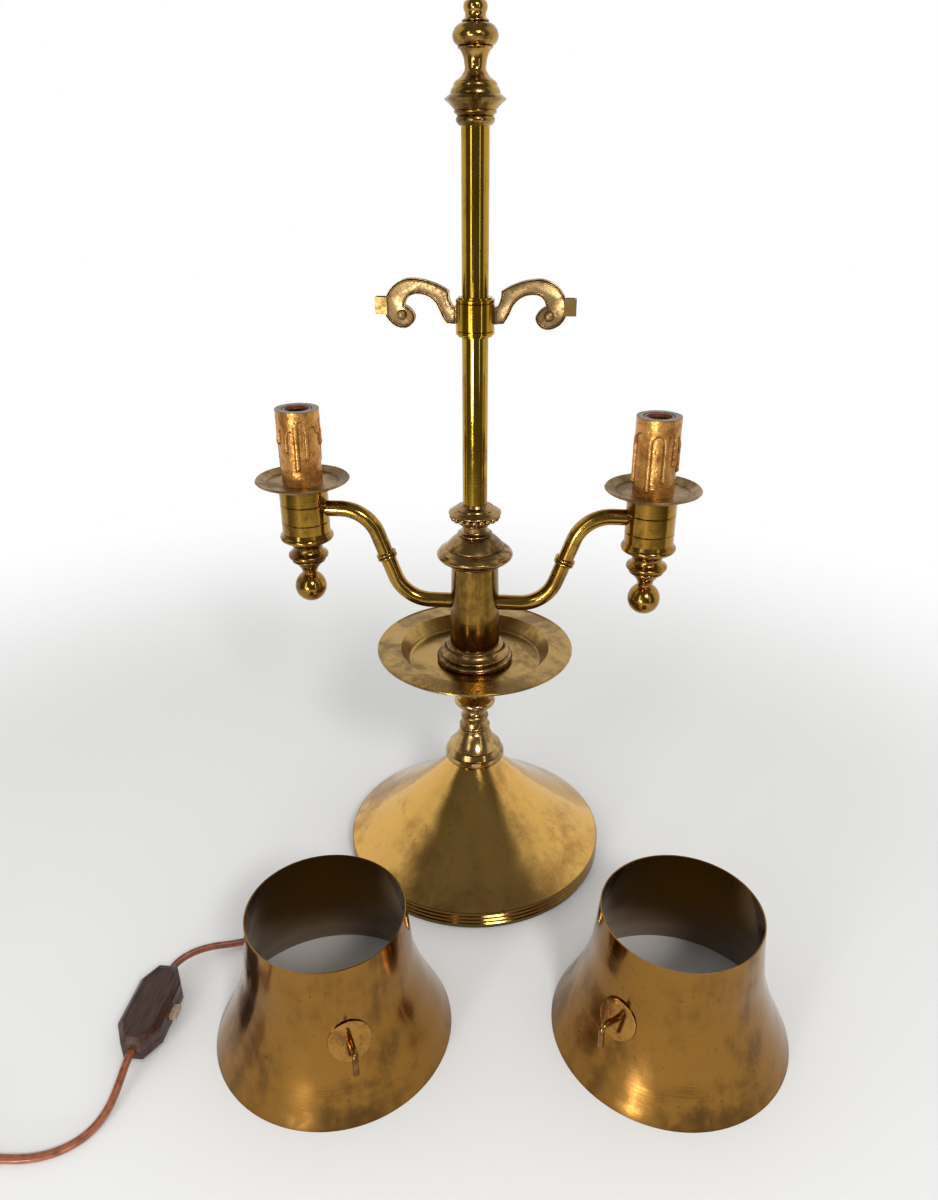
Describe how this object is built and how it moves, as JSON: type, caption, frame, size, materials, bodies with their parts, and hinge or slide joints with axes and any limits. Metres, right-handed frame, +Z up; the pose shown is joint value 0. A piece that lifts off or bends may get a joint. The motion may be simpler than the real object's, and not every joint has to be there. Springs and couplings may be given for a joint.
{
  "type": "bouillotte lamp",
  "caption": "Two-light brass bouillotte table lamp with a drip pan, candle arms, a sliding shade carrier, lift-off metal shades and an in-line cord switch.",
  "frame": {"origin": "centre of the base's felt underside, where the lamp stands", "axes": "+Z up along the stem, +X towards the right-hand candle arm, -Y towards the side where the two shades stand"},
  "size_m": [0.6119, 0.4539, 0.5922],
  "materials": {
    "aged_brass": "old polished brass, warm and slightly bronzed",
    "stem_brass": "smooth polished brass, greenish gold",
    "bright_brass": "plain machined brass",
    "gilt": "worn gilt paint over a card or plastic sleeve",
    "bakelite": "dark brown phenolic, dull gloss",
    "ivory": "light moulded plastic",
    "cord": "translucent reddish-brown twin flex",
    "felt": "green felt",
    "cast_iron": "as cast",
    "steel": "zinc-plated steel"
  },
  "bodies": {
    "lamp": {"arm_beads": "aged_brass", "arm_left": "aged_brass", "arm_right": "aged_brass", "arm_wires": "cord", "base_felt": "felt", "base_shell": "aged_brass", "base_washer": "steel", "base_weight": "cast_iron", "beaded_ring": "aged_brass", "bobeche_nuts": "steel", "bobeches": "aged_brass", "candle_sleeve_left": "gilt", "candle_sleeve_right": "gilt", "column_cap": "aged_brass", "column_foot": "aged_brass", "column_tube": "stem_brass", "cord_base_run": "cord", "cord_bush": "cord", "cord_coil": "cord", "cord_coil_run": "cord", "cord_plug_run": "cord", "cup_drops": "aged_brass", "cup_left": "aged_brass", "cup_nipples": "steel", "cup_right": "aged_brass", "drip_pan": "aged_brass", "feed_cores": "cord", "finial": "aged_brass", "finial_base": "aged_brass", "finial_knob": "aged_brass", "lampholder_contacts": "bright_brass", "lampholder_threads": "bright_brass", "lampholders": "bakelite", "neck_bell": "aged_brass", "neck_ring": "aged_brass", "neck_tube": "aged_brass", "plug_body": "bakelite", "plug_pins": "bright_brass", "ring_beads": "aged_brass", "stem_rod": "steel", "stem_tube": "stem_brass", "switch_contacts": "bright_brass", "switch_lower": "bakelite", "switch_screws": "steel", "switch_upper": "bakelite", "tie_rod": "steel", "tie_rod_nuts": "steel", "wire_connector": "ivory"},
    "stem_grip": {"collar_liner": "aged_brass"},
    "shade_carrier": {"collar": "stem_brass", "scrolls": "aged_brass", "hook_sockets": "aged_brass"},
    "left_shade": {"shade_left": "aged_brass", "hook_plate_left": "aged_brass", "hook_left": "aged_brass"},
    "right_shade": {"shade_right": "aged_brass", "hook_plate_right": "aged_brass", "hook_right": "aged_brass"},
    "push_bar": {"switch_bar": "ivory"}
  },
  "joints": [
    {"name": "carrier_slide", "type": "slide", "parent": "lamp", "child": "stem_grip", "axis": [0, 0, 1], "range_m": [-0.106, 0.092]},
    {"name": "carrier_turn", "type": "hinge", "parent": "stem_grip", "child": "shade_carrier", "pos_m": [0, 0, 0.40875], "axis": [0, 0, 1], "continuous": true},
    {"name": "left_shade_lift", "type": "slide", "parent": "lamp", "child": "left_shade", "axis": [0, 0, 1], "range_m": [0, 0.25]},
    {"name": "right_shade_lift", "type": "slide", "parent": "lamp", "child": "right_shade", "axis": [0, 0, 1], "range_m": [0, 0.25]},
    {"name": "switch_push", "type": "slide", "parent": "lamp", "child": "push_bar", "axis": [-1, 0, 0], "range_m": [0, 0.0038]}
  ]
}
